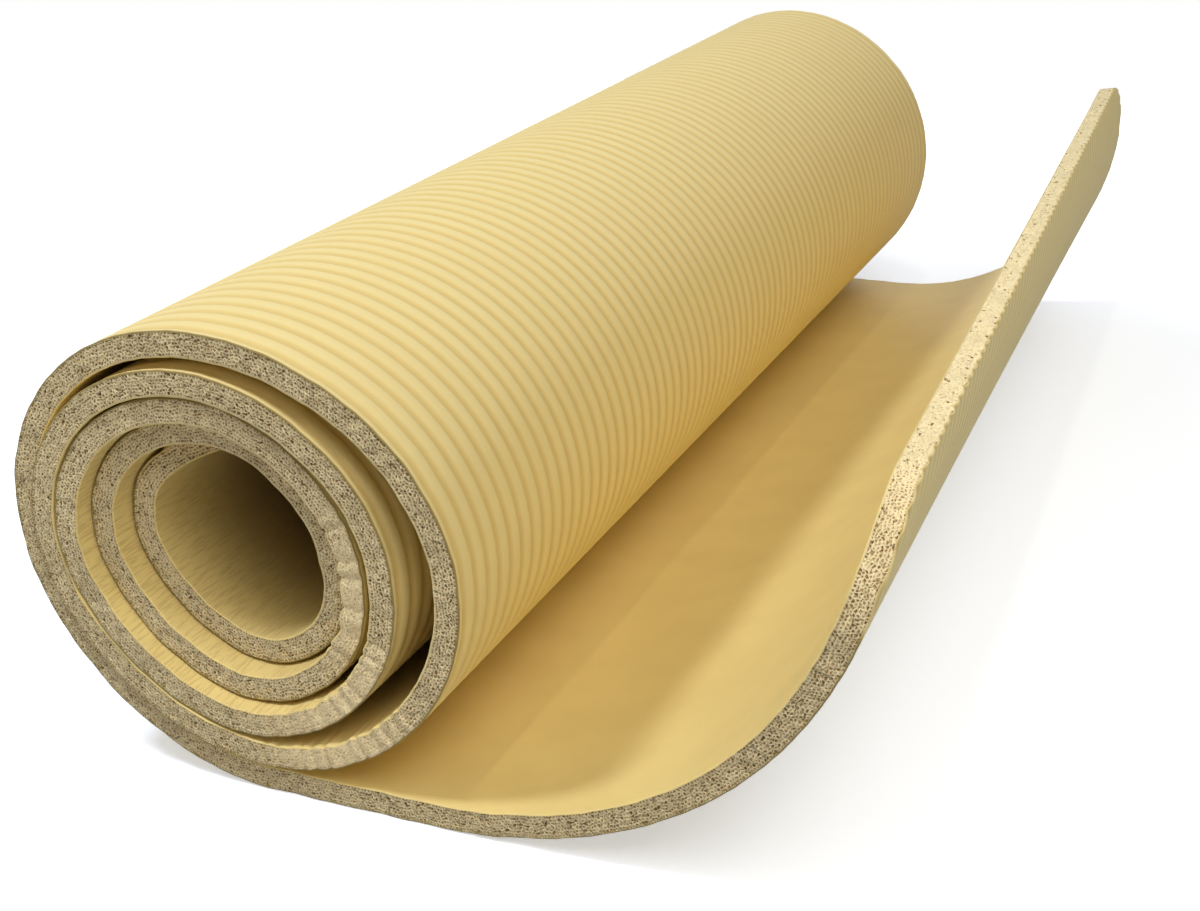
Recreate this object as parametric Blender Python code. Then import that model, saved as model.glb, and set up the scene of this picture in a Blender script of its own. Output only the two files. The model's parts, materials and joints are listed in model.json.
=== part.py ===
"""Foam exercise mat: most of it wound into an open roll, its loose end curling up off the floor.

Metres, +Z up. The sheet's width runs along Y and the roll's axis with it; the loose end
points to +X. The origin lies on the floor below the middle of the mat.

The sheet is three layers, a smooth skin, a foam core and a ribbed skin. It is wound with the
smooth skin inside, so the ribs face out on the roll and down where the sheet lies flat.
"""

import math
from collections import namedtuple

import bmesh
import bpy
from mathutils import Matrix, Vector

# The sheet.
mat_width = 0.610
smooth_skin_thickness = 0.0009
core_thickness = 0.0054
ribbed_skin_thickness = 0.0016
layer_gap = 0.0003
corner_radius = 0.040
corner_sweep_share = 0.9

# The ribs of the underside, which run along the sheet. They are cut on the loose end and on
# the outermost turn, between these quarters: the stretch on the floor is flat, and the turns
# inside are covered.
rib_pitch = 0.00813
rib_height = 0.0007
ribbed_quarters = (0.45, 4.0)

# The roll: the radius of the outermost turn's mid-line at eight stations, from below the
# centre, then on over the left side, the top and the right side.
roll_radius = 0.0758
outer_turn_shares = (1.0, 0.94, 1.0, 0.99, 0.90, 0.92, 1.0, 0.96)
wound_turns = 4.46
steps_per_quarter = 6

# Air between each turn and the one outside it, at the bottom, left, top and right of the
# second turn, then of the third, and so on.
turn_gaps = (
    0.00225, 0.0005, 0.0040, 0.0150,
    0.0005, 0.0005, 0.0009, 0.0040,
    0.0005, 0.0005, 0.0006, 0.0018,
    0.0005, 0.0008, 0.0010,
)

# How far each quarter of the winding is pushed along the axis, from the outermost turn in.
edge_setbacks = (
    0.0, 0.0, 0.0, 0.0,
    -0.003, -0.004, -0.001, 0.0,
    0.0, 0.0, 0.003, 0.003,
    0.006, 0.006, 0.009, 0.009,
    0.012, 0.012, 0.013,
)

# The roll's far end stands taller and narrower than its near end.
far_rise_share = 0.10
far_narrow_share = 0.035

# The stretch that lies flat, from below the roll's centre, and the loose end that curls up
# in as many strips as there are bend shares.
lying_reach = 0.068
loose_length = 0.2008
loose_curl = math.radians(83.5)
bend_shares = (0.157, 0.157, 0.187, 0.187, 0.156, 0.156)
far_curl_share = 0.20
strip_steps = 2
corner_steps = 5

# Bend lines: the strips part by this much at mid-thickness and open to a V on both faces.
bend_gap = 0.0004
bend_relief_angle = math.radians(7.5)

mat_thickness = smooth_skin_thickness + core_thickness + ribbed_skin_thickness + 2 * layer_gap
half_thickness = mat_thickness / 2
corner_sweep = corner_sweep_share * math.pi / 2
winding_steps = round(wound_turns * 4 * steps_per_quarter)
rib_count = round(mat_width / rib_pitch)
body_names = ["roll"] + [f"flap_{strip + 1}" for strip in range(len(bend_shares))]

# A point of the mid-line seen along the axis, with the direction in which the sheet runs on
# and the angle by which its cross-section leans from square to it.
Section = namedtuple("Section", "x z heading lean")

# One cross-section of the sheet: its two ends, its shift along the axis, its distance to the
# nearer end of the sheet, whether its underside is ribbed, and on which side of a bend it lies.
Station = namedtuple("Station", "near far setback end_distance ribbed bend_side")


def clear_scene():
    for item in list(bpy.data.objects):
        bpy.data.objects.remove(item, do_unlink=True)


def blended(values, place):
    """Value of a table at a fractional place, eased from entry to entry."""
    first = min(int(place), len(values) - 2)
    ease = (1 - math.cos(math.pi * (place - first))) / 2
    return values[first] + (values[first + 1] - values[first]) * ease


def station_radius(index, far_share):
    """Mid-line radius at an eighth of a turn; each further turn is one layer smaller."""
    count = len(outer_turn_shares)
    angle = index * 2 * math.pi / count
    stretch = far_rise_share * math.cos(angle) ** 2 - far_narrow_share * math.sin(angle) ** 2
    radius = roll_radius * outer_turn_shares[index % count] * (1 + far_share * stretch)
    return radius - (index // count) * (mat_thickness + turn_gaps[0])


def outer_radius(quarter, far_share):
    """The outermost turn, a smooth curve through its stations (Catmull-Rom)."""
    place = quarter * len(outer_turn_shares) / 4
    index = math.floor(place)
    t = place - index
    before, start, end, after = (station_radius(index + k, far_share) for k in (-1, 0, 1, 2))
    straight = start + (end - start) * t
    start_slope = (end - before) / 2 - (end - start)
    end_slope = (after - start) / 2 - (end - start)
    return straight + start_slope * t * (1 - t) ** 2 - end_slope * t * t * (1 - t)


def slope(radius, quarter, far_share):
    """Change of a radius for each radian of winding."""
    reach = 1 / (4 * steps_per_quarter)
    change = radius(quarter + reach, far_share) - radius(quarter - reach, far_share)
    return change / (reach * math.pi)


def wound_radius(quarter, far_share):
    """Mid-line radius of the winding, whose turns each lie inside the one before."""
    if quarter <= 4:
        return outer_radius(quarter, far_share)
    around = wound_radius(quarter - 4, far_share)
    lean = slope(outer_radius, quarter % 4, far_share) / (around - mat_thickness)
    return around - mat_thickness * math.hypot(1, lean) - blended(turn_gaps, quarter - 4)


def contact_quarter(far_share):
    """Where the winding runs level into the stretch that lies on the floor."""
    quarter = 0.0
    for _ in range(12):
        rate = slope(wound_radius, quarter, far_share)
        quarter = math.atan(rate / wound_radius(quarter, far_share)) * 2 / math.pi
    return quarter


def wound_section(quarter, far_share):
    """The winding's cross-sections stand on rays from its centre, alike for every turn."""
    angle = quarter * math.pi / 2
    radius = wound_radius(quarter, far_share)
    climb = math.atan(slope(wound_radius, quarter, far_share) / radius)
    contact = contact_quarter(far_share)
    drop = wound_radius(contact, far_share) * math.cos(contact * math.pi / 2)
    return Section(
        -radius * math.sin(angle),
        half_thickness + drop - radius * math.cos(angle),
        climb - angle,
        -climb,
    )


def advanced(section, length, turn):
    """The section after an arc of this length and turn."""
    chord = length * math.sin(turn / 2) / (turn / 2)
    direction = section.heading + turn / 2
    return Section(
        section.x + chord * math.cos(direction),
        section.z + chord * math.sin(direction),
        section.heading + turn,
        0.0,
    )


def roll_stations():
    """From the sheet's inner end out along the winding to the first bend line."""
    stations = []
    distance = 0.0
    previous = None
    ribs_start, ribs_end = ribbed_quarters
    for step in range(winding_steps, -1, -1):
        quarter = step / steps_per_quarter
        near = wound_section(quarter, 0)
        if previous:
            distance += math.hypot(near.x - previous.x, near.z - previous.z)
        previous = near
        setback = blended(edge_setbacks, quarter)
        ribbed = ribs_start <= quarter <= ribs_end
        stations.append(Station(near, wound_section(quarter, 1), setback, distance, ribbed, 0))
    touch = [wound_section(contact_quarter(far_share), far_share) for far_share in (0, 1)]
    stations.append(Station(touch[0], touch[1], 0, loose_length + lying_reach, False, 0))
    bend = Section(lying_reach, half_thickness, 0.0, 0.0)
    stations.append(Station(bend, bend, 0, loose_length, False, -1))
    return stations


def strip_fractions(strip, length):
    """Places along a strip; the last strip's follow its rounded corners."""
    if strip < len(bend_shares) - 1:
        return [step / strip_steps for step in range(strip_steps + 1)]
    fractions = [0.0]
    for step in range(1, corner_steps + 1):
        distance = corner_radius * (1 - math.sin(corner_sweep * step / corner_steps))
        if distance < length:
            fractions.append(1 - distance / length)
    return fractions


def loose_strips():
    """The curling end: a list of stations for each strip between two bend lines."""
    length = loose_length / len(bend_shares)
    start = Section(lying_reach, half_thickness, 0.0, 0.0)
    near, far = start, start
    strips = []
    for strip, share in enumerate(bend_shares):
        turn = loose_curl * share
        far_turn = turn * (1 + far_curl_share)
        fractions = strip_fractions(strip, length)
        stations = []
        for place, fraction in enumerate(fractions):
            reach = max(fraction, 1 / len(bend_shares) ** 6)
            last = place == len(fractions) - 1 and strip < len(bend_shares) - 1
            stations.append(Station(
                advanced(near, length * reach, turn * reach) if fraction else near,
                advanced(far, length * reach, far_turn * reach) if fraction else far,
                0,
                loose_length - length * (strip + fraction),
                True,
                1 if place == 0 else -1 if last else 0,
            ))
        strips.append(stations)
        near = advanced(near, length, turn)
        far = advanced(far, length, far_turn)
    return strips


def corner_inset(end_distance):
    """How far the rounded corner draws the side edge in, this near to the sheet's end."""
    shortest = corner_radius * (1 - math.sin(corner_sweep))
    from_centre = corner_radius - min(max(end_distance, shortest), corner_radius)
    return corner_radius - math.sqrt(corner_radius ** 2 - from_centre ** 2)


def squeezed(place, inset):
    """A place across the sheet, moved in where a rounded corner narrows it."""
    keep = (corner_radius - inset) / corner_radius
    if place < corner_radius:
        return inset + place * keep
    if place > mat_width - corner_radius:
        return mat_width - inset - (mat_width - place) * keep
    return place


def flat_profile(height):
    return [(0.0, height), (mat_width, height)]


def rib_profile(height):
    """Ridges across the sheet with a valley between each two, and a ridge on either edge."""
    pitch = mat_width / rib_count
    profile = [(0.0, height)]
    for rib in range(rib_count):
        profile.append(((rib + 0.5) * pitch, height + rib_height))
        profile.append(((rib + 1) * pitch, height))
    return profile


def surface_point(station, place, height):
    """A point of the sheet: across from its near edge, and above its mid-thickness."""
    across = squeezed(place, corner_inset(station.end_distance))
    relief = bend_gap / 2 + abs(height) * math.tan(bend_relief_angle)
    back = station.bend_side * relief
    ends = []
    for end in (station.near, station.far):
        across_angle = end.heading + end.lean
        depth = height / math.cos(end.lean)
        ends.append(Vector((
            end.x - depth * math.sin(across_angle) + back * math.cos(end.heading),
            0.0,
            end.z + depth * math.cos(across_angle) + back * math.sin(end.heading),
        )))
    point = ends[0].lerp(ends[1], across / mat_width)
    point.y = across - mat_width / 2 + station.setback
    return point


def layer_levels(layer, ribbed):
    """Profiles of a layer from its lower face up; the core has one at the bend axis too."""
    bottom = -half_thickness
    core_bottom = bottom + ribbed_skin_thickness + layer_gap
    core_top = core_bottom + core_thickness
    if layer == "ribbed_skin":
        lower = rib_profile(bottom) if ribbed else flat_profile(bottom)
        return [lower, flat_profile(bottom + ribbed_skin_thickness)]
    if layer == "foam_core":
        return [flat_profile(core_bottom), flat_profile(0.0), flat_profile(core_top)]
    return [flat_profile(core_top + layer_gap), flat_profile(half_thickness)]


def swept_layer(layer, stations):
    """One layer of the sheet along its stations, as a closed mesh."""
    mesh = bmesh.new()
    rings = []
    for station in stations:
        levels = layer_levels(layer, station.ribbed)
        rings.append([
            [mesh.verts.new(surface_point(station, place, height)) for place, height in level]
            for level in levels
        ])
    for ring, after in zip(rings, rings[1:]):
        for level, next_level in ((ring[0], after[0]), (ring[-1], after[-1])):
            if len(level) != len(next_level):
                mesh.faces.new(level + next_level[::-1])
                continue
            for k in range(len(level) - 1):
                mesh.faces.new((level[k], level[k + 1], next_level[k + 1], next_level[k]))
        for side in (0, -1):
            for k in range(len(ring) - 1):
                mesh.faces.new((
                    ring[k][side], ring[k + 1][side], after[k + 1][side], after[k][side],
                ))
    for ring in (rings[0], rings[-1]):
        for level, upper in zip(ring, ring[1:]):
            mesh.faces.new(level + upper[::-1])
    bmesh.ops.recalc_face_normals(mesh, faces=mesh.faces)
    return mesh


def material(name, colour, roughness):
    surface = bpy.data.materials.new(name)
    surface.use_nodes = True
    shader = surface.node_tree.nodes["Principled BSDF"]
    shader.inputs["Base Color"].default_value = (*colour, 1.0)
    shader.inputs["Roughness"].default_value = roughness
    shader.inputs["Metallic"].default_value = 0.0
    surface.diffuse_color = (*colour, 1.0)
    return surface


def smooth_skin_material(body):
    return material(f"{body}_smooth_skin", (0.50, 0.31, 0.11), 0.6)


def foam_core_material(body):
    return material(f"{body}_foam_core", (0.40, 0.30, 0.16), 0.9)


def ribbed_skin_material(body):
    return material(f"{body}_ribbed_skin", (0.80, 0.64, 0.26), 0.65)


layer_materials = {
    "smooth_skin": smooth_skin_material,
    "foam_core": foam_core_material,
    "ribbed_skin": ribbed_skin_material,
}


def bend_frames(strips, shift):
    """World matrix of each bend line: its middle, with Y along the line."""
    frames = []
    for stations in strips:
        near, far = stations[0].near, stations[0].far
        start = Vector((near.x, -mat_width / 2, near.z))
        end = Vector((far.x, mat_width / 2, far.z))
        along = Vector((0, 1, 0)).rotation_difference(end - start)
        middle = (start + end) / 2 + shift
        frames.append(Matrix.Translation(middle) @ along.to_matrix().to_4x4())
    return frames


def add_bend_axes(frames):
    """An empty on each bend line, each carrying the next."""
    axes = []
    for number, frame in enumerate(frames):
        axis = bpy.data.objects.new(f"flap_bend_{number + 1}", None)
        axis.empty_display_type = "ARROWS"
        axis.empty_display_size = corner_radius
        bpy.context.scene.collection.objects.link(axis)
        axis.matrix_basis = frame
        if axes:
            axis.parent = axes[-1]
            axis.matrix_basis = frames[number - 1].inverted() @ frame
        axes.append(axis)
    return axes


def add_node(name, mesh, surface, to_local, parent):
    bmesh.ops.transform(mesh, matrix=to_local, verts=mesh.verts)
    data = bpy.data.meshes.new(name)
    mesh.to_mesh(data)
    mesh.free()
    data.materials.append(surface)
    data.shade_smooth()
    data.set_sharp_from_angle(angle=math.radians(40))
    node = bpy.data.objects.new(name, data)
    bpy.context.scene.collection.objects.link(node)
    node.parent = parent
    return node


def floor_shift(meshes):
    """Moves the mat so that the origin is on the floor, below the middle of its bounds."""
    points = [vert.co for mesh in meshes for vert in mesh.verts]
    low = Vector([min(point[k] for point in points) for k in range(3)])
    high = Vector([max(point[k] for point in points) for k in range(3)])
    middle = (low + high) / 2
    return Vector((-middle.x, -middle.y, -low.z))


def gap_to_line(point, start, end):
    along = end - start
    share = max(0.0, min(1.0, (point - start).dot(along) / along.length_squared))
    return (point - start - along * share).length


def least_turn_gap(stations):
    """Smallest distance from a turn's ribbed face to the smooth face of the turn outside it."""
    wound = stations[:winding_steps + 1]
    turn = 4 * steps_per_quarter
    least = roll_radius
    for place in (0.0, mat_width):
        inner = [surface_point(station, place, half_thickness).xz for station in wound]
        outer = [surface_point(station, place, -half_thickness).xz for station in wound]
        for k in range(len(wound) - turn):
            for j in range(max(0, k + turn - 2), min(len(wound) - 1, k + turn + 2)):
                least = min(least, gap_to_line(outer[k], inner[j], inner[j + 1]))
                least = min(least, gap_to_line(inner[j], outer[k], outer[k + 1]))
    return least


def sheet_length(stations):
    length = 0.0
    for station, after in zip(stations, stations[1:]):
        length += math.hypot(after.near.x - station.near.x, after.near.z - station.near.z)
    return length


def main():
    clear_scene()
    roll = roll_stations()
    strips = loose_strips()
    solids = {
        (body, layer): swept_layer(layer, stations)
        for body, stations in zip(body_names, [roll] + strips)
        for layer in layer_materials
    }
    shift = floor_shift(solids.values())
    frames = bend_frames(strips, shift)
    parents = dict(zip(body_names, [None] + add_bend_axes(frames)))
    to_local = dict(zip(body_names, [Matrix()] + [frame.inverted() for frame in frames]))
    for (body, layer), mesh in solids.items():
        move = to_local[body] @ Matrix.Translation(shift)
        surface = layer_materials[layer](body)
        add_node(f"{body}_{layer}", mesh, surface, move, parents[body])
    print(f"least gap between turns: {least_turn_gap(roll) * 1000:.3f} mm")
    print(f"length of the sheet: {sheet_length(roll) + loose_length:.3f} m")
    for number, frame in enumerate(frames):
        middle = frame.translation
        along = frame.to_3x3() @ Vector((0, 1, 0))
        print(f"bend {number + 1}: middle {tuple(round(c, 5) for c in middle)}, "
              f"axis {tuple(round(c, 5) for c in along)}")


main()
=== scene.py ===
"""Foam exercise mat, dressed: one sheet in a loose roll with its end curling up.

The sheet is described once, as one mid-line for its near edge and one for its far edge, and
every piece is cut from it: a smooth skin, a foam core and a ribbed skin for the roll, for each
bend and for the sheet's end. Places on the sheet are (along, across, height): metres from the
inner end, metres from the near edge, and metres above mid-thickness on the smooth side.
"""

import json
import math

import bpy
import numpy as np
from mathutils import Matrix, Vector


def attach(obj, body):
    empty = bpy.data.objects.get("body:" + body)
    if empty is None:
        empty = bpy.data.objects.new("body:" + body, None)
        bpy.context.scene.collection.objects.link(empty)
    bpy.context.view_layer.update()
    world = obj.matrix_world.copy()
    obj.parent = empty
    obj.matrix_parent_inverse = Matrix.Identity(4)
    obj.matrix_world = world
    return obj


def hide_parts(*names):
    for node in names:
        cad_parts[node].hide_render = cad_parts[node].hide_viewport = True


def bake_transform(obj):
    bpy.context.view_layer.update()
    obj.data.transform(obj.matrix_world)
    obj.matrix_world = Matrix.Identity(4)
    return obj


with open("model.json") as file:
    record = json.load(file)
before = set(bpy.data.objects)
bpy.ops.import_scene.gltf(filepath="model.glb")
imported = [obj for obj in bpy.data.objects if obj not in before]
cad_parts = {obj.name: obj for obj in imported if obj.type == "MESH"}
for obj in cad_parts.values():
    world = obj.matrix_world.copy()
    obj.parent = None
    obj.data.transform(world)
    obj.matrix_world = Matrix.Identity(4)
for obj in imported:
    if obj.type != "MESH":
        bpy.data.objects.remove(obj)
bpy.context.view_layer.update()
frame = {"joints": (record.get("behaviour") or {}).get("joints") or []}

MM = 0.001

# The sheet. Its outline is rounded off as deep as the smooth skin, and the ribbed skin's
# inner face tapers in from the outline.
mat_width = 0.610
mat_thickness = 8.5 * MM
half_thickness = mat_thickness / 2
corner_radius = 40 * MM
skin_thickness = 0.5 * MM
ribbed_skin_thickness = 1.3 * MM
skin_taper = 1.5 * MM

# The ribs of the ribbed skin.
rib_count = 75
rib_pitch = mat_width / rib_count
rib_height = 0.7 * MM
rib_sharpness = 4

# The winding: radius at eight stations of the outermost turn, air between the turns and the
# push along the axis at each quarter turn, from the bottom on over the left side. The far
# end stands taller and narrower than the near end.
roll_radius = 75.8 * MM
outer_turn_shares = (1.0, 0.94, 1.0, 0.99, 0.90, 0.92, 1.0, 0.96)
winding_end = 17.833
turn_gaps = np.array((
    2.25, 0.4, 4.0, 15.0,
    0.4, 0.4, 0.9, 4.0,
    0.4, 0.4, 0.6, 1.8,
    0.4, 0.8, 1.0,
)) * MM
edge_setbacks = np.array((
    0, 0, 0, 0,
    -3, -4, -1, 0,
    -3, -4, 1, 3,
    3, 3, 8, 9,
    12, 12, 13,
)) * MM
far_rise_share = 0.10
far_narrow_share = 0.035

# The stretch on the floor and the loose end.
lying_reach = 68 * MM
loose_length = 200.8 * MM
loose_curl = math.radians(83.5)
bend_shares = (0.157, 0.157, 0.187, 0.187, 0.156, 0.156)
far_curl_share = 0.20
curl_easing = 16 * MM

# How finely the mid-line is worked out. The winding is followed a little past its lowest
# place, to find where it lies level.
gap_samples = 1401
gap_smoothing = 35
winding_samples = 7333
quarters_past_bottom = 0.5
slope_reach = 0.02
turn_slack = 1e-9
winding_points = 6000
loose_points = 1100
loose_step = 0.25 * MM
heading_smoothing = 9

# A waver is a sum of waves, each given as its share of the spacing and its phase, which is
# multiplied by the waver's seed.
waver_waves = ((1.0, 1.7), (0.62, 4.1), (0.37, 2.9))

# The side edges waver along the roll's axis and, less and closer together, up and down.
edge_waver = 0.35 * MM
edge_waver_spacing = 43 * MM
edge_waver_reach = 25 * MM
edge_waver_seeds = (1, 2)
edge_lift = 0.105 * MM
edge_lift_spacing = 17 * MM
edge_lift_seeds = (3, 4)

# They are crushed into waves over some quarter turns, each given as its first and last
# quarter, the waves' spacing and their swell. The waves press the smooth face in and push the
# edge in and out along the axis; some are weaker than others, and their spacing drifts.
edge_buckles = {
    "near": (
        (10.6, 11.6, 8.5 * MM, 0.9 * MM),
        (7.2, 7.97, 6.0 * MM, 0.8 * MM),
        (3.38, 3.98, 6.0 * MM, 1.15 * MM),
    ),
    "far": ((5.2, 6.0, 6.4 * MM, 0.4 * MM), (9.2, 10.1, 7.1 * MM, 0.5 * MM)),
}
buckle_reach = 7 * MM
buckle_fading = 0.6
buckle_press = 1.6
buckle_push = 1.3
buckle_weakening = 0.3
buckle_drift = 0.5
waves_to_a_drift = 5
drift_seed = 6

# The foam's open cells on the cut edge: uneven hexagons, whose corners rise and fall by this
# share of a row. Their rows sway along the edge and up and down. Their walls' tops lie at
# uneven depths; each pit in them is drawn in, narrowed and leaned by its own shares, and a
# small pit is shallower.
random_seed = 7
cell_size = 1.15 * MM
corner_rise = 1 / 6
cell_jitter = 0.3
furthest_jitter = (0.48, 0.36)
row_sway = 0.9
row_sway_spacing = 29
row_sway_slant = 3
row_sway_seed = 2
height_sway = 0.7
height_sway_spacing = 19
height_sway_seed = 5
wall_top_drop = 0.3 * MM
wall_top_evenness = 1.5
pit_depth = 0.8 * MM
least_pit_share = 0.3
pit_size_shares = (0.5, 1.0)
pit_narrow_shares = (0.35, 0.8)
pit_lean = 1.0
pit_roundness = (0.7, 1.0)

# Painted shade in the cells: how dark a cell is drawn, from 0 on a wall's top to 1 at the bottom of
# a deep pit. Where the edge is crushed, the pits are shallower and alike in tone.
wall_shade_tone = 0.3
pit_shade_tones = (0.7, 1.0)
small_pit_shade_tone = 0.55
crushed_share = 0.75
crushed_shade_tone = 0.45

# The meshes: spacing of rows and columns on the roll and on the loose end, the spacing of
# points along the edges, and how sharp a fold is still shaded round. A piece gets one row
# more only for more than the spare share of a row.
roll_grid = (5 * MM, 12 * MM)
loose_grid = (2.4 * MM, 8 * MM)
spare_row_share = 0.01
edge_step = 0.8 * MM
outline_step = 0.5 * MM
rounding_points = 5
second_row = 0.9 * MM
third_row = 1.6 * MM
tip_rows = 12
smooth_edge_columns = np.array((
    0.8, 1.5, 2.5, 4, 6, 8.5, 11, 14, 17,
    20, 23, 26, 29, 32, 35, 38, 41,
)) * MM
rib_column_shares = (0.0, 0.2, 0.3, 0.4, 0.5, 0.6, 0.7, 0.8)
rib_column_clearance = rib_pitch / 20
edge_ribs = 2
end_sliver = 0.2 * MM
skin_sharp_angle = math.radians(50)
foam_sharp_angle = math.radians(180)

# The skins' colours and fine relief. The deeper colours are painted shade, in the rib valleys and
# in the creases. Soft clouds mix in some of the deeper colour. Here and below, a band is where in
# its noise a mark begins and where it is full.
ribbed_colour = (0.84, 0.69, 0.32, 1)
painted_valley_shade_colour = (0.72, 0.54, 0.20, 1)
smooth_colour = (0.83, 0.65, 0.26, 1)
crease_painted_shade_colour = (0.40, 0.26, 0.08, 1)
skin_cloud_spacing = 28 * MM
skin_cloud_band = (0.3, 0.75)
skin_cloud_share = 0.22
fine_grain_spacing = 0.9 * MM
broad_grain_spacing = 6 * MM
grain_depth = 0.03 * MM

# Painted shade: the ribbed skin's colour darkens where it rounds off towards a side edge, where
# touching turns shade it.
rim_painted_shade_colour = (0.30, 0.22, 0.07, 1)
rim_painted_shade_reach = (0.7 * MM, 0.2 * MM)

# The smooth skin is finely creased near its side edges where it is wound tightest: the
# stretches are given as from where it isn't to where it is.
creased_along = (1.05, 0.70)
crease_reach = 80 * MM
crease_spacing = 0.55 * MM
crease_stretch = 16
crease_band = (0.52, 0.36)
crease_depth = 0.06 * MM
# The creases are also darkened by this share of painted shade.
crease_painted_shade_share = 0.35

# Painted shade: the smooth skin is darkened deep inside the innermost turn, where little light gets
# in.
hole_painted_shade_colour = (0.16, 0.09, 0.025, 1)
hole_painted_shade_along = (0.27, 0.20)
hole_painted_shade_depth = (4 * MM, 90 * MM)

# The foam's colour by how dark a cell is drawn, which paints shade into the pits, its fine speckle
# and its soft clouds.
foam_shade_ramp = (
    (0.0, (0.99, 0.88, 0.55)),
    (1.0, (0.12, 0.070, 0.030)),
    (0.45, (0.96, 0.78, 0.46)),
    (0.75, (0.48, 0.34, 0.17)),
)
foam_cloud_colour = (0.50, 0.39, 0.21, 1)
foam_cloud_spacing = 9 * MM
foam_cloud_band = (0.35, 0.7)
foam_cloud_share = 0.15
speckle_spacing = 0.5 * MM
speckle_band = (0.25, 0.75)
speckle_tone = 0.16

# The floor. As the camera and mirrors see it, it takes the mat's shadow and glows, so that
# it turns wholly white between these two distances from the mat.
floor_reach = 0.9
floor_back_reach = 1.08
floor_place = (0, -0.12, -0.0002)
floor_colour = (0.55, 0.55, 0.55, 1)
floor_seen_colour = (0.95, 1.01, 1.15, 1)
floor_glow_distances = (0.42, 0.85)
floor_glow = (0.45, 1.0)

# Light from all round, as strong as this in front and behind, and the lamps: each lamp's
# place, what it points at, its size, its power and its colour.
white = (1, 1, 1, 1)
ambient_light = (0.36, 0.05)
lamps = {
    "key": ((-0.66, -0.60, 1.32), (0, -0.05, 0.05), 0.24, 9.2, (0.94, 1.0, 1.14)),
    "line": ((0.09, -0.4, 1.4), (0, 0, 0.05), 0.04, 1.35, (1.0, 0.93, 0.70)),
    "fill": ((0.60, -0.72, 1.20), (0, -0.1, 0.05), 0.8, 8.4, (1.0, 0.96, 0.88)),
    "back": ((-0.10, 1.15, 0.85), (0, 0.2, 0.05), 0.8, 1.4, (1.0, 0.98, 0.92)),
}

# The photograph's view: the camera's place is measured from the roll's near end.
camera_place = (298.7 * MM, -405.2 * MM, 309.4 * MM)
camera_azimuth = math.radians(23.13)
camera_elevation = math.radians(21.83)
camera_roll = math.radians(-1.03)
camera_lens = 52.5
camera_sensor = 36

bends = [joint for joint in frame["joints"] if joint["name"].startswith("flap_bend")]
bend_origin = Vector(bends[0]["pos_m"])
roll_centre_x = bend_origin.x - lying_reach
axis_middle_y = bend_origin.y
strip_length = loose_length / len(bend_shares)
tip_length = strip_length / 2


# The mid-line.

def smoothed(values, count):
    """Moving average, applied twice, with the ends held."""
    kernel = np.ones(count) / count
    for _ in range(2):
        padded = np.pad(values, count, mode="edge")
        values = np.convolve(padded, kernel, mode="same")[count:-count]
    return values


gap_quarters = np.arange(len(turn_gaps)) + 4
gap_places = np.linspace(gap_quarters[0], gap_quarters[-1], gap_samples)
gap_values = smoothed(np.interp(gap_places, gap_quarters, turn_gaps), gap_smoothing)


def outer_radius(quarter, far):
    """Outermost turn's mid-line radius: harmonics through its stations, less a layer each turn."""
    count = len(outer_turn_shares)
    stations = np.arange(count)
    angles = stations * 2 * np.pi / count
    stretch = far_rise_share * np.cos(angles) ** 2 - far_narrow_share * np.sin(angles) ** 2
    layer = mat_thickness + turn_gaps[0]
    radii = roll_radius * np.array(outer_turn_shares) * (1 + far * stretch)
    waves = np.fft.rfft(radii + layer * stations / count) / count
    angle = quarter * np.pi / 2
    radius = np.full_like(angle, waves[0].real) + waves[-1].real * np.cos(count / 2 * angle)
    for order in range(1, count // 2):
        radius += 2 * (waves[order] * np.exp(1j * order * angle)).real
    return radius - layer * quarter / 4


def wound_radius(quarter, far):
    """Mid-line radius of the winding, each turn a sheet and its air inside the one before."""
    turns = np.maximum(np.ceil(quarter / 4 - turn_slack) - 1, 0)
    base = quarter - 4 * turns
    radius = outer_radius(base, far)
    rise = outer_radius(base + slope_reach, far) - outer_radius(base - slope_reach, far)
    slope = rise / (slope_reach * np.pi)
    for turn in range(1, int(winding_end / 4) + 1):
        gap = np.interp(base + 4 * turn, gap_places, gap_values)
        inner = radius - mat_thickness * np.hypot(1, slope / (radius - mat_thickness)) - gap
        radius = np.where(turns >= turn, inner, radius)
    return radius


def winding_line(far):
    """Mid-line from the inner end out to where the sheet lies level on the floor."""
    quarter = np.linspace(winding_end, -quarters_past_bottom, winding_samples)
    radius = wound_radius(quarter, far)
    angle = quarter * np.pi / 2
    x, z = -radius * np.sin(angle), -radius * np.cos(angle)
    level = int(np.argmin(z))
    keep = slice(0, level + 1)
    return quarter[keep], x[keep] + roll_centre_x, z[keep] - z[level] + half_thickness


def loose_line(start_x, far):
    """From the level point along the floor and up the curling end, bending without a jump."""
    lying = roll_centre_x + lying_reach - start_x
    length = lying + loose_length
    along = np.arange(0, length + loose_step / 2, loose_step)
    curvature = np.zeros_like(along)
    for strip, share in enumerate(bend_shares):
        turn = loose_curl * share * (1 + far * far_curl_share)
        inside = along >= lying + strip * strip_length
        curvature[inside] = turn / strip_length
    curvature = smoothed(curvature, int(curl_easing / loose_step))
    heading = np.cumsum(curvature) * loose_step
    x = start_x + np.cumsum(np.cos(heading)) * loose_step
    z = half_thickness + np.cumsum(np.sin(heading)) * loose_step
    return x, z


def resampled(values, count):
    return np.interp(np.linspace(0, 1, count), np.linspace(0, 1, len(values)), values)


def joined(winding, loose):
    """Values along the winding and then the loose end, which share one point."""
    return np.append(resampled(winding, winding_points), resampled(loose, loose_points)[1:])


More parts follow.
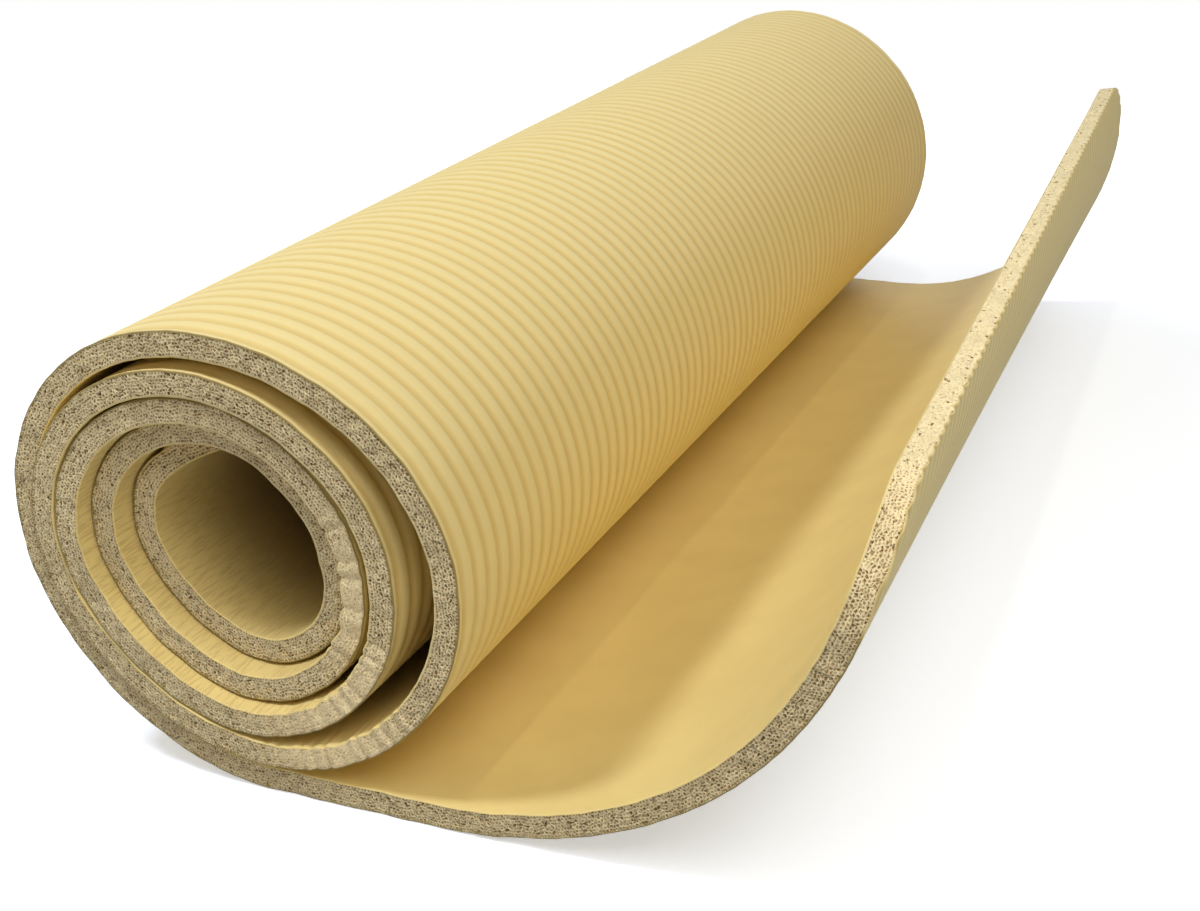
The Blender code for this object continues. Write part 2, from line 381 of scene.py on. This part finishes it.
def mid_line():
    """Near and far mid-lines on shared places, with distance measured along the near one."""
    edges = {}
    for far, name in enumerate(("near", "far")):
        quarter, x, z = winding_line(far)
        loose_x, loose_z = loose_line(x[-1], far)
        edges[name] = joined(x, loose_x), joined(z, loose_z)
    quarters = joined(quarter, quarter[-1:])
    lengths = np.hypot(*np.diff(edges["near"]))
    along = np.append(0, np.cumsum(lengths))
    line = {"along": along, "quarter": quarters}
    for name, (x, z) in edges.items():
        line[name + "_x"], line[name + "_z"] = x, z
        heading = np.unwrap(np.arctan2(np.gradient(z, along), np.gradient(x, along)))
        whole_turns = round(heading[-1] / math.tau) * math.tau
        line[name + "_heading"] = smoothed(heading - whole_turns, heading_smoothing)
    line["setback"] = np.interp(quarters, np.arange(len(edge_setbacks)), edge_setbacks)
    return line


line = mid_line()
sheet_length = line["along"][-1]
bend_places = [sheet_length - loose_length + k * strip_length for k in range(len(bends))]


def on_line(name, along):
    return np.interp(along, line["along"], line[name])


# Places on the flat sheet.

def to_outline(along, across):
    """Distances to the nearer end and the nearer side of the sheet's box."""
    return np.minimum(along, sheet_length - along), np.minimum(across, mat_width - across)


def rounded(along, across):
    """True place on the flat sheet: a square grid drawn in to the four rounded corners.

    Rows stay straight but for those within a tip's length of an end.
    """
    to_end, to_side = to_outline(along, across)
    in_corner = np.clip(1 - to_side / corner_radius, 0, 1)
    in_tip = np.clip(1 - to_end / tip_length, 0, 1)
    from_end = corner_radius * (1 - np.sqrt(1 - in_corner ** 2 / 2)) * in_tip
    outermost = to_end + corner_radius * (1 - math.sqrt(0.5)) * in_tip
    reach = np.sqrt(1 - np.clip(1 - outermost / corner_radius, 0, 1) ** 2)
    from_side = corner_radius * in_corner * (1 - reach)
    along = along + np.where(along < sheet_length / 2, from_end, -from_end)
    across = across + np.where(across < mat_width / 2, from_side, -from_side)
    return along, across


def edge_distance(along, across):
    """Distance in from the sheet's outline, at a true place on it."""
    to_end, to_side = to_outline(along, across)
    over_end = np.clip(1 - to_end / corner_radius, 0, 1)
    over_side = np.clip(1 - to_side / corner_radius, 0, 1)
    in_corner = corner_radius * (1 - np.hypot(over_end, over_side))
    straight = np.minimum(to_end, to_side)
    return np.maximum(np.where((over_end > 0) & (over_side > 0), in_corner, straight), 0)


def waver(place, spacing, seed):
    """A smooth uneven wave about zero, never more than one."""
    wave = np.zeros_like(place)
    for stretch, phase in waver_waves:
        wave = wave + np.sin(math.tau * place / (spacing * stretch) + phase * seed)
    return wave / len(waver_waves)


def buckle_window(side, along):
    """Where a side edge is crushed into waves: each stretch's share, spacing and swell."""
    quarter = on_line("quarter", along)
    for first, last, spacing, swell in edge_buckles[side]:
        share = np.clip((quarter - first) / (last - first), 0, 1)
        yield np.sin(np.pi * share) ** buckle_fading, spacing, swell


def world_point(along, across, height):
    """World points for true places on the sheet, its side edges wavering and buckling."""
    along, across, height = np.broadcast_arrays(along, across, height)
    share = across / mat_width
    x, z, heading = (
        on_line(f"near_{name}", along) * (1 - share) + on_line(f"far_{name}", along) * share
        for name in ("x", "z", "heading")
    )
    shift = on_line("setback", along)
    lift = height
    on_smooth_side = 0.5 + height / mat_thickness
    edges = (("near", across, 1), ("far", mat_width - across, -1))
    seeds = zip(edge_waver_seeds, edge_lift_seeds)
    for (side, from_edge, inward), (waver_seed, lift_seed) in zip(edges, seeds):
        by_edge = np.exp(-from_edge / edge_waver_reach)
        crushed = np.exp(-from_edge / buckle_reach)
        shift = shift + by_edge * edge_waver * waver(along, edge_waver_spacing, waver_seed)
        lift = lift + crushed * edge_lift * waver(along, edge_lift_spacing, lift_seed)
        for window, spacing, swell in buckle_window(side, along):
            uneven = waver(along, waves_to_a_drift * spacing, drift_seed)
            strength = swell * window * (1 - buckle_weakening + buckle_weakening * uneven)
            wave = np.abs(np.sin(np.pi * (along / spacing + buckle_drift * uneven)))
            lift = lift - crushed * strength * on_smooth_side * buckle_press * (1 - wave)
            shift = shift + crushed * strength * inward * buckle_push * (0.5 - wave)
    y = across - mat_width / 2 + shift + axis_middle_y
    return np.stack((x - np.sin(heading) * lift, y, z + np.cos(heading) * lift), axis=-1)


def rib_relief(across):
    """Depth below the rib crests: broad round ridges with narrow valleys between."""
    return rib_height * np.abs(np.sin(np.pi * across * rib_count / mat_width)) ** rib_sharpness


def edge_drop(along, across):
    """How far a face has rounded off towards the outline: a quarter round as deep as the skin."""
    into = np.clip(skin_thickness - edge_distance(along, across), 0, skin_thickness)
    return skin_thickness - np.sqrt(skin_thickness ** 2 - into ** 2)


def smooth_height(along, across):
    return half_thickness - edge_drop(along, across)


def ribbed_height(along, across):
    return -half_thickness + rib_relief(across) + edge_drop(along, across)


# Meshes.

class Build:
    """Gathers true places on the sheet, and faces between them, into one mesh."""

    def __init__(self):
        self.places = []
        self.tones = []
        self.faces = []
        self.count = 0

    def points(self, along, across, height, tone=0.0):
        """Adds places and returns their numbers in the same layout."""
        arrays = np.broadcast_arrays(along, across, height, tone)
        self.places.append(np.stack([array.ravel() for array in arrays[:3]], axis=-1))
        self.tones.append(arrays[3].ravel())
        numbers = np.arange(arrays[0].size).reshape(arrays[0].shape) + self.count
        self.count += arrays[0].size
        return numbers

    def face_grid(self, along, across, height):
        """Adds a face's grid of places, drawn in to the sheet's rounded corners."""
        along, across = rounded(*np.broadcast_arrays(along[:, None], across))
        return self.points(along, across, height(along, across))

    def inset(self, run, distance, height):
        """A line of points alongside a run of the outline, further into the sheet."""
        along, across = np.concatenate(self.places)[run, :2].T
        tangent = np.gradient(np.stack((along, across)), axis=1)
        tangent /= np.hypot(*tangent)
        return self.points(along - tangent[1] * distance, across + tangent[0] * distance, height)

    def quads(self, numbers, flip=False):
        """Faces over a grid; seen from outside, its second way turns left from its first."""
        a, b, c, d = numbers[:-1, :-1], numbers[1:, :-1], numbers[1:, 1:], numbers[:-1, 1:]
        order = (d, c, b, a) if flip else (a, b, c, d)
        self.faces.extend(np.stack(order, axis=-1).reshape(-1, 4).tolist())

    def polygon(self, *runs, flip=False):
        loop = [int(number) for run in runs for number in run]
        self.faces.append(loop[::-1] if flip else loop)

    def bridge(self, runs, flip=False):
        """Spans the sheet between two side edges, with one thin face along the sheet's end."""
        loop = np.concatenate(runs)
        along = np.concatenate(self.places)[loop, 0]
        to_end = np.minimum(along, sheet_length - along)[1:len(loop) // 2]
        strips = np.count_nonzero(to_end > to_end.min() + end_sliver)
        self.quads(np.stack((loop, loop[::-1]), axis=-1)[:strips + 1], flip)
        if strips < len(to_end):
            self.polygon(loop[strips:len(loop) - strips], flip=flip)

    def piece(self, name, surface, sharp_angle):
        """The finished object; its points keep their places on the sheet and their tones."""
        places = np.concatenate(self.places)
        mesh = bpy.data.meshes.new(name)
        mesh.from_pydata(world_point(*places.T).tolist(), [], self.faces)
        mesh.materials.append(surface)
        sheet = mesh.attributes.new("sheet", "FLOAT_VECTOR", "POINT")
        sheet.data.foreach_set("vector", places.astype(np.float32).ravel())
        tones = mesh.attributes.new("painted_cell_shade", "FLOAT", "POINT")
        tones.data.foreach_set("value", np.concatenate(self.tones).astype(np.float32))
        mesh.shade_smooth()
        mesh.set_sharp_from_angle(angle=sharp_angle)
        piece = bpy.data.objects.new(name, mesh)
        bpy.context.scene.collection.objects.link(piece)
        return piece


# The two skins.

edge_rounding = skin_thickness * (1 - np.cos(np.linspace(0, np.pi / 2, rounding_points)))


def stations(start, end, step):
    """Places along a piece, and which of them the middle of the sheet shares with its edges."""
    tip = np.linspace(third_row, tip_length, tip_rows)
    from_end = np.concatenate((edge_rounding, [second_row], tip))
    head, first = np.array([]), start
    tail, last = np.array([]), end
    if start == 0:
        head, first = from_end[:-1], from_end[-1]
    if end == sheet_length:
        tail, last = sheet_length - from_end[-2::-1], sheet_length - from_end[-1]
    count = math.ceil((last - first) / step - spare_row_share)
    fine = math.ceil(step / edge_step)
    dense = np.concatenate((head, np.linspace(first, last, count * fine + 1), tail))
    shared = np.concatenate((
        np.arange(len(head)),
        len(head) + np.arange(count + 1) * fine,
        len(head) + count * fine + 1 + np.arange(len(tail)),
    )).astype(int)
    return dense, shared


def smooth_columns(spacing):
    """Columns of the edge strips, and of the middle."""
    strip = np.concatenate((edge_rounding, smooth_edge_columns))
    count = math.ceil((mat_width - 2 * strip[-1]) / spacing)
    return strip, np.linspace(strip[-1], mat_width - strip[-1], count + 1)[1:-1]


def rib_columns():
    """Columns that follow the ribs, closest together in the valleys."""
    columns = (np.arange(rib_count)[:, None] + np.array(rib_column_shares)).ravel() * rib_pitch
    strip_width = edge_ribs * rib_pitch
    clear_of_strip = strip_width + rib_column_clearance
    inner = (columns > edge_rounding[-1]) & (columns < strip_width - rib_column_clearance)
    middle = (columns > clear_of_strip) & (columns < mat_width - clear_of_strip)
    return np.concatenate((edge_rounding, columns[inner], [strip_width])), columns[middle]


def skin_face(build, span, step, columns, height, flip):
    """A skin's outer face: fine strips along both sides and a wider grid between them.

    Returns the runs of its outline, each with the sheet on its left, and its first and last
    rows.
    """
    strip, middle_columns = columns
    dense, shared = stations(*span, step)
    near = build.face_grid(dense, strip, height)
    far = build.face_grid(dense, mat_width - strip[::-1], height)
    middle = build.face_grid(dense[shared], middle_columns, height)
    for grid in (near, middle, far):
        build.quads(grid, flip)
    for k, (row, next_row) in enumerate(zip(shared, shared[1:])):
        rows = slice(row, next_row + 1)
        build.polygon(near[rows, -1], middle[[k + 1, k], 0], flip=flip)
        build.polygon(middle[[k, k + 1], -1], far[rows, 0][::-1], flip=flip)
    first = np.concatenate((near[0], middle[0], far[0]))
    last = np.concatenate((near[-1], middle[-1], far[-1]))
    near_side, far_side = near[:, 0], far[::-1, -1]
    if span[0] == 0:
        return [np.concatenate((far_side, first[-2:0:-1], near_side))], first, last
    if span[1] == sheet_length:
        return [np.concatenate((near_side, last[1:-1], far_side))], first, last
    return [near_side, far_side], first, last


def smooth_skin(name, span, grid, surface):
    build = Build()
    step, spacing = grid
    columns = smooth_columns(spacing)
    runs, first, last = skin_face(build, span, step, columns, smooth_height, False)
    build.bridge(runs, flip=True)
    if span[0] > 0:
        build.polygon(first)
    if span[1] < sheet_length:
        build.polygon(last, flip=True)
    return build.piece(name, surface, skin_sharp_angle)


def ribbed_skin(name, span, grid, surface):
    build = Build()
    runs, first, last = skin_face(build, span, grid[0], rib_columns(), ribbed_height, True)
    low = -half_thickness + ribbed_skin_thickness
    inner = [build.inset(run, skin_taper, low) for run in runs]
    for run, line_inside in zip(runs, inner):
        build.quads(np.stack((run, line_inside), axis=-1))
    build.bridge(inner)
    if span[0] > 0:
        build.polygon(first[::-1], [inner[0][0], inner[-1][-1]])
    if span[1] < sheet_length:
        build.polygon(last[::-1], [inner[0][-1], inner[-1][0]], flip=True)
    return build.piece(name, surface, skin_sharp_angle)


# The foam core, its cut edge made of open cells.

def outline_runs(start, end):
    """True places round the outline of a piece, each run with the sheet on its left."""
    along = np.linspace(start, end, math.ceil((end - start) / outline_step) + 1)
    across = np.linspace(0, mat_width, math.ceil(mat_width / outline_step) + 1)
    near = np.stack((along, np.zeros_like(along)))
    far = np.stack((along[::-1], np.full_like(along, mat_width)))
    if start == 0:
        end_side = np.stack((np.zeros_like(across), across[::-1]))
        runs = [np.hstack((far, end_side[:, 1:-1], near))]
    elif end == sheet_length:
        end_side = np.stack((np.full_like(across, sheet_length), across))
        runs = [np.hstack((near, end_side[:, 1:-1], far))]
    else:
        runs = [near, far]
    return [np.stack(rounded(*run)) for run in runs]


def pit_shares(along, across):
    """Pits are shallower where the edge is crushed."""
    share = np.ones_like(along)
    for side, from_edge in (("near", across), ("far", mat_width - across)):
        for window, _, _ in buckle_window(side, along):
            share = share - crushed_share * window * (from_edge < buckle_reach)
    return share


def wall_corners(rows, columns, random):
    """Corners of uneven six-sided cells, on a grid with two columns to a cell.

    Returns their columns and rows, no longer whole numbers, and which of them lie inside.
    """
    way, up = np.meshgrid(np.arange(columns + 1.0), np.arange(rows + 1.0))
    inside_rows = (up > 0) & (up < rows)
    inside = inside_rows & (way > 0) & (way < columns)
    up += inside_rows * np.where((way + up) % 2 == 0, corner_rise, -corner_rise)
    sway = inside * np.sin(np.pi * up / rows)
    slanted = way + row_sway_slant * up
    sideways = sway * row_sway * waver(slanted, row_sway_spacing, row_sway_seed)
    upwards = sway * height_sway * waver(way, height_sway_spacing, height_sway_seed)
    way, up = way + sideways, up + upwards
    furthest_way, furthest_up = furthest_jitter
    jitter_way = random.normal(0, 2 * cell_jitter, way.shape)
    jitter_up = random.normal(0, cell_jitter, way.shape)
    way += inside * jitter_way.clip(-furthest_way, furthest_way)
    up += inside * jitter_up.clip(-furthest_up, furthest_up)
    return way, up, inside


def cell_loops(row, columns):
    """Cells of a row: where each starts, and its corners' rows and columns from there."""
    whole = np.array(((0, 0, 0, 1, 1, 1), (0, 1, 2, 2, 1, 0)))
    half = np.array(((0, 0, 1, 1), (0, 1, 1, 0)))
    yield np.arange(row % 2, columns - 1, 2), whole
    if row % 2:
        yield np.array((0, columns - 1)), half


def sunken_pits(ring_way, ring_up, random):
    """Pits drawn in from rings of wall corners: their columns, rows, depths and tones."""
    middle_way, middle_up = ring_way.mean(axis=0), ring_up.mean(axis=0)
    from_way, from_up = ring_way - middle_way, ring_up - middle_up
    count = ring_way.shape[1]
    size = random.uniform(*pit_size_shares, count)
    narrow = random.uniform(*pit_narrow_shares, count)
    lean = random.uniform(-pit_lean, pit_lean, count)
    uneven = random.uniform(*pit_roundness, ring_way.shape)
    way = middle_way + (from_way + from_up * lean) * size * uneven
    up = middle_up + from_up * size * uneven * narrow
    depth = np.broadcast_to(
        pit_depth * (least_pit_share + (1 - least_pit_share) * size), ring_way.shape)
    tone = random.uniform(*pit_shade_tones, ring_way.shape)
    return way, up, depth, tone * (small_pit_shade_tone + (1 - small_pit_shade_tone) * size)


def cut_cells(build, run, random):
    """Open cells over one run of the cut edge: uneven six-sided walls round sunken pits.

    Returns the numbers of the wall corners, row by row from the ribbed side up.
    """
    travelled = np.append(0, np.cumsum(np.hypot(*np.diff(run))))
    tangent = np.gradient(run, axis=1)
    tangent /= np.hypot(*tangent)
    columns = 2 * round(travelled[-1] / cell_size)
    rows = round((mat_thickness - 2 * skin_thickness) / cell_size)

    def points(way, up, depth, tone):
        place = way * travelled[-1] / columns
        along, across, ahead, aside = (np.interp(place, travelled, c) for c in (*run, *tangent))
        share = pit_shares(along, across)
        depth, tone = depth * share, tone * share + crushed_shade_tone * (1 - share)
        low = -half_thickness + skin_thickness + rib_relief(across)
        height = low + (half_thickness - skin_thickness - low) * up / rows
        return build.points(along - aside * depth, across + ahead * depth, height, tone)

    way, up, inside = wall_corners(rows, columns, random)
    sunk = inside * random.uniform(0, 1, way.shape) ** wall_top_evenness
    corners = points(way, up, wall_top_drop * sunk, wall_shade_tone * sunk)
    for row in range(rows):
        for first_columns, loop in cell_loops(row, columns):
            ring = row + loop[0][:, None], first_columns + loop[1][:, None]
            walls = corners[ring]
            pits = points(*sunken_pits(way[ring], up[ring], random))
            for k in range(len(walls)):
                after = (k + 1) % len(walls)
                sides = np.stack((walls[k], walls[after], pits[after], pits[k]), axis=-1)
                build.faces.extend(sides.tolist())
            build.faces.extend(pits.T.tolist())
    return corners


def foam_core(name, span, surface, random):
    build = Build()
    cells = [cut_cells(build, run, random) for run in outline_runs(*span)]
    build.bridge([corners[-1] for corners in cells])
    low = -half_thickness + ribbed_skin_thickness
    inner = [build.inset(corners[0], skin_taper, low) for corners in cells]
    for corners, line_inside in zip(cells, inner):
        build.quads(np.stack((corners[0], line_inside), axis=-1), flip=True)
    build.bridge(inner, flip=True)
    if span[0] > 0:
        near, far = cells[0][:, 0], cells[-1][::-1, -1]
        build.polygon([inner[-1][-1], inner[0][0]], near, far)
    if span[1] < sheet_length:
        near, far = cells[0][:, -1], cells[-1][::-1, 0]
        build.polygon([inner[-1][0], inner[0][-1]], near, far, flip=True)
    return build.piece(name, surface, foam_sharp_angle)


# Materials.

class Nodes:
    """Adds nodes to a tree; their inputs are numbers, colours or other nodes' outputs."""

    def __init__(self, tree):
        self.tree = tree

    def node(self, kind, inputs=(), **settings):
        node = self.tree.nodes.new(kind)
        for name, value in settings.items():
            setattr(node, name, value)
        for socket, value in dict(inputs).items():
            self.plug(node.inputs[socket], value)
        return node

    def plug(self, socket, value):
        if isinstance(value, bpy.types.NodeSocket):
            self.tree.links.new(value, socket)
        else:
            socket.default_value = value

    def math(self, operation, *values, clamp=False):
        inputs = dict(enumerate(values))
        return self.node("ShaderNodeMath", inputs, operation=operation, use_clamp=clamp).outputs[0]

    def ranged(self, value, start, end, low=0.0, high=1.0, way="SMOOTHSTEP"):
        """A value that goes from low to high as another goes from start to end."""
        inputs = {"Value": value, "From Min": start, "From Max": end, "To Min": low, "To Max": high}
        return self.node("ShaderNodeMapRange", inputs, interpolation_type=way).outputs["Result"]

    def background(self, output, unseen, seen):
        """One shader for the light on the mat, the other where the background is seen.

        It is seen straight, in gloss and through glass.
        """
        rays = self.node("ShaderNodeLightPath").outputs
        share = self.math("ADD", rays["Is Camera Ray"], rays["Is Glossy Ray"], clamp=True)
        share = self.math("ADD", share, rays["Is Transmission Ray"], clamp=True)
        mix = self.node("ShaderNodeMixShader", {0: share, 1: unseen, 2: seen})
        self.node(output, {"Surface": mix.outputs[0]})


class Surface(Nodes):
    """A material whose nodes read the sheet's own coordinates."""

    def __init__(self, name, roughness, specular):
        self.material = bpy.data.materials.new(name)
        self.material.use_nodes = True
        super().__init__(self.material.node_tree)
        self.shader = self.tree.nodes["Principled BSDF"]
        self.shader.inputs["Roughness"].default_value = roughness
        self.shader.inputs["Specular IOR Level"].default_value = specular
        self.sheet = self.node("ShaderNodeAttribute", attribute_name="sheet").outputs["Vector"]
        parts = self.node("ShaderNodeSeparateXYZ", {0: self.sheet}).outputs
        self.along, self.across, self.height = parts["X"], parts["Y"], parts["Z"]

    def from_side(self):
        """Distance in from the nearer side edge."""
        return self.math("MINIMUM", self.across, self.math("SUBTRACT", mat_width, self.across))

    def noise(self, spacing, detail=2.0, stretch=(1, 1, 1)):
        """Noise on the sheet, with features this far apart, drawn out by stretch."""
        scale = self.node("ShaderNodeVectorMath", {0: self.sheet, 1: stretch}, operation="DIVIDE")
        inputs = {"Vector": scale.outputs[0], "Scale": 1 / spacing, "Detail": detail}
        return self.node("ShaderNodeTexNoise", inputs).outputs["Fac"]

    def mixed(self, factor, first, second):
        """Colour between two colours, by the numbers of the Mix node's colour sockets."""
        inputs = {0: factor, 6: first, 7: second}
        return self.node("ShaderNodeMix", inputs, data_type="RGBA").outputs[2]

    def bump(self, height, distance, normal=None):
        inputs = {"Height": height, "Distance": distance, "Strength": 1.0}
        if normal:
            inputs["Normal"] = normal
        return self.node("ShaderNodeBump", inputs).outputs["Normal"]

    def finish(self, colour, normal):
        self.plug(self.shader.inputs["Base Color"], colour)
        self.plug(self.shader.inputs["Normal"], normal)
        return self.material


def skin_colour(surface, colour, painted_shade_colour, depth):
    """Moulded foam skin: a colour that deepens with depth, which paints shade into rib valleys or
    creases, and clouds a little.
    """
    cloud_colour = tuple((a + b) / 2 for a, b in zip(colour, painted_shade_colour))
    clouds = surface.ranged(surface.noise(skin_cloud_spacing, detail=4.0), *skin_cloud_band)
    base = surface.mixed(depth, colour, painted_shade_colour)
    return surface.mixed(surface.math("MULTIPLY", clouds, skin_cloud_share), base, cloud_colour)


def skin_grain(surface):
    """Height of the skin's fine pebbled grain."""
    fine = surface.noise(fine_grain_spacing, detail=3.0)
    return surface.math("ADD", fine, surface.noise(broad_grain_spacing))


def ribbed_skin_surface():
    surface = Surface("ribbed_skin", roughness=0.62, specular=0.3)
    # Painted shade in the rib valleys, darker where they are deeper.
    valley_shade = surface.ranged(surface.height, -half_thickness, -half_thickness + rib_height)
    colour = skin_colour(surface, ribbed_colour, painted_valley_shade_colour, valley_shade)
    # Painted shade along the side edges.
    rim_shade = surface.ranged(surface.from_side(), *rim_painted_shade_reach)
    colour = surface.mixed(rim_shade, colour, rim_painted_shade_colour)
    return surface.finish(colour, surface.bump(skin_grain(surface), grain_depth))


def smooth_skin_surface():
    surface = Surface("smooth_skin", roughness=0.5, specular=0.35)
    from_side = surface.from_side()
    wound_tight = surface.ranged(surface.along, *creased_along)
    by_an_edge = surface.ranged(from_side, 0.0, crease_reach, 1.0, 0.0)
    lines = surface.noise(crease_spacing, detail=2.5, stretch=(1, crease_stretch, 1))
    amount = surface.math("MULTIPLY", wound_tight, by_an_edge)
    crease = surface.math("MULTIPLY", surface.ranged(lines, *crease_band), amount)
    # Painted shade in the creases, besides their bump.
    crease_shade = surface.math("MULTIPLY", crease, crease_painted_shade_share)
    colour = skin_colour(surface, smooth_colour, crease_painted_shade_colour, crease_shade)
    # Painted shade deep inside the innermost turn.
    hole_shade_along_mask = surface.ranged(surface.along, *hole_painted_shade_along)
    hole_shade_mask = surface.math("MULTIPLY", surface.ranged(from_side, *hole_painted_shade_depth), hole_shade_along_mask)
    colour = surface.mixed(hole_shade_mask, colour, hole_painted_shade_colour)
    grain = surface.bump(skin_grain(surface), grain_depth)
    level = surface.math("SUBTRACT", 1.0, crease)
    return surface.finish(colour, surface.bump(level, crease_depth, grain))


def foam_core_surface():
    surface = Surface("foam_core", roughness=0.85, specular=0.15)
    # Painted shade: how dark each cell is drawn.
    tone = surface.node("ShaderNodeAttribute", attribute_name="painted_cell_shade").outputs["Fac"]
    speckle = surface.noise(speckle_spacing)
    speckles = surface.ranged(speckle, *speckle_band, -speckle_tone, speckle_tone)
    tone = surface.math("ADD", tone, speckles, clamp=True)
    ramp = surface.node("ShaderNodeValToRGB", {"Fac": tone})
    for k, (place, colour) in enumerate(foam_shade_ramp):
        stop = ramp.color_ramp.elements[k] if k < 2 else ramp.color_ramp.elements.new(place)
        stop.position = place
        stop.color = (*colour, 1)
    clouds = surface.noise(foam_cloud_spacing, detail=3.0)
    cloud_share = surface.ranged(clouds, *foam_cloud_band, 0.0, foam_cloud_share)
    colour = surface.mixed(cloud_share, ramp.outputs["Color"], foam_cloud_colour)
    return surface.finish(colour, surface.bump(speckle, grain_depth))


# The mat's pieces.

def pieces_between(tag, span, grid, surfaces, random):
    """Three layers of the sheet between two places along it."""
    smooth, foam, ribbed = surfaces
    layers = {
        "smooth_skin": smooth_skin(f"{tag}_smooth", span, grid, smooth),
        "foam_core": foam_core(f"{tag}_foam", span, foam, random),
        "ribbed_skin": ribbed_skin(f"{tag}_ribbed", span, grid, ribbed),
    }
    return layers


def middle_of(along):
    """Middle of the mid-line at a place along the sheet."""
    return tuple(world_point(np.array(along), np.array(mat_width / 2), np.array(0.0)))


def add_mat():
    """The roll, a bend across each hinge line, and the sheet's end beyond the last one."""
    surfaces = smooth_skin_surface(), foam_core_surface(), ribbed_skin_surface()
    random = np.random.default_rng(random_seed)
    half_strip = strip_length / 2
    layers = pieces_between("roll", (0, bend_places[0] - half_strip), roll_grid, surfaces, random)
    for layer, piece in layers.items():
        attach(piece, "roll")
        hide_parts(f"roll_{layer}")
    for number, place in enumerate(bend_places, 1):
        span = place - half_strip, place + half_strip
        layers = pieces_between(f"bend_{number}", span, loose_grid, surfaces, random)
        for layer, piece in layers.items():
            middle_of(span[0])
            middle_of(span[1])
            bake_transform(piece)
            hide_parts(f"flap_{number}_{layer}")
    span = bend_places[-1] + half_strip, sheet_length
    layers = pieces_between("end", span, loose_grid, surfaces, random)
    for layer, piece in layers.items():
        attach(piece, "flap_6")
        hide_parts(f"flap_6_{layer}")


# Floor, light and camera.

def white_floor():
    """Grey for the light on the mat; where it is seen, shadowed near the mat and white beyond."""
    material = bpy.data.materials.new("studio_floor")
    material.use_nodes = True
    nodes = Nodes(material.node_tree)
    nodes.tree.nodes.clear()
    place = nodes.node("ShaderNodeTexCoord").outputs["Object"]
    away = nodes.node("ShaderNodeVectorMath", {0: place}, operation="LENGTH").outputs["Value"]
    strength = nodes.ranged(away, *floor_glow_distances, *floor_glow, way="LINEAR")
    glow = nodes.node("ShaderNodeEmission", {"Strength": strength})
    shaded = nodes.node("ShaderNodeBsdfDiffuse", {"Color": floor_seen_colour})
    seen = nodes.node("ShaderNodeAddShader", {0: shaded.outputs[0], 1: glow.outputs[0]})
    grey = nodes.node("ShaderNodeBsdfDiffuse", {"Color": floor_colour})
    nodes.background("ShaderNodeOutputMaterial", grey.outputs[0], seen.outputs[0])
    return material


def add_floor():
    mesh = bpy.data.meshes.new("floor")
    front, back = -floor_reach, floor_back_reach
    corners = [(x, y, 0) for x, y in (
        (-floor_reach, front), (floor_reach, front), (floor_reach, back), (-floor_reach, back))]
    mesh.from_pydata(corners, [], [(0, 1, 2, 3)])
    mesh.materials.append(white_floor())
    floor = bpy.data.objects.new("floor", mesh)
    bpy.context.scene.collection.objects.link(floor)
    floor.location = floor_place


def add_world():
    """Soft light, strongest from the front, where the camera stands; white where it is seen."""
    world = bpy.data.worlds.new("studio")
    bpy.context.scene.world = world
    world.use_nodes = True
    nodes = Nodes(world.node_tree)
    nodes.tree.nodes.clear()
    direction = nodes.node("ShaderNodeTexCoord").outputs["Generated"]
    backward = nodes.node("ShaderNodeSeparateXYZ", {0: direction}).outputs["Y"]
    strength = nodes.ranged(backward, -1, 1, *ambient_light, way="LINEAR")
    ambient = nodes.node("ShaderNodeBackground", {"Color": white, "Strength": strength})
    seen = nodes.node("ShaderNodeBackground", {"Color": white})
    nodes.background("ShaderNodeOutputWorld", ambient.outputs[0], seen.outputs[0])


def add_lamp(name, place, target, size, power, colour):
    light = bpy.data.lights.new(name, "AREA")
    light.shape = "SQUARE"
    light.size = size
    light.energy = power
    light.color = colour
    lamp = bpy.data.objects.new(name, light)
    bpy.context.scene.collection.objects.link(lamp)
    turn = (Vector(target) - Vector(place)).to_track_quat("-Z", "Y")
    lamp.matrix_world = Matrix.Translation(place) @ turn.to_matrix().to_4x4()


def add_camera():
    near_end = Vector((roll_centre_x, axis_middle_y - mat_width / 2, 0))
    looking = Vector((
        -math.sin(camera_azimuth) * math.cos(camera_elevation),
        math.cos(camera_azimuth) * math.cos(camera_elevation),
        -math.sin(camera_elevation),
    ))
    level = Vector((math.cos(camera_azimuth), math.sin(camera_azimuth), 0))
    upright = level.cross(looking)
    right = math.cos(camera_roll) * level + math.sin(camera_roll) * upright
    up = -math.sin(camera_roll) * level + math.cos(camera_roll) * upright
    camera = bpy.data.cameras.new("camera")
    camera.sensor_fit = "HORIZONTAL"
    camera.sensor_width = camera_sensor
    camera.lens = camera_lens
    eye = bpy.data.objects.new("camera", camera)
    bpy.context.scene.collection.objects.link(eye)
    turn = Matrix((right, up, -looking)).transposed().to_4x4()
    eye.matrix_world = Matrix.Translation(near_end + Vector(camera_place)) @ turn
    bpy.context.scene.camera = eye


add_mat()
add_floor()
add_world()
for name, settings in lamps.items():
    add_lamp(name, *settings)
add_camera()
bpy.context.scene.view_settings.view_transform = "Standard"
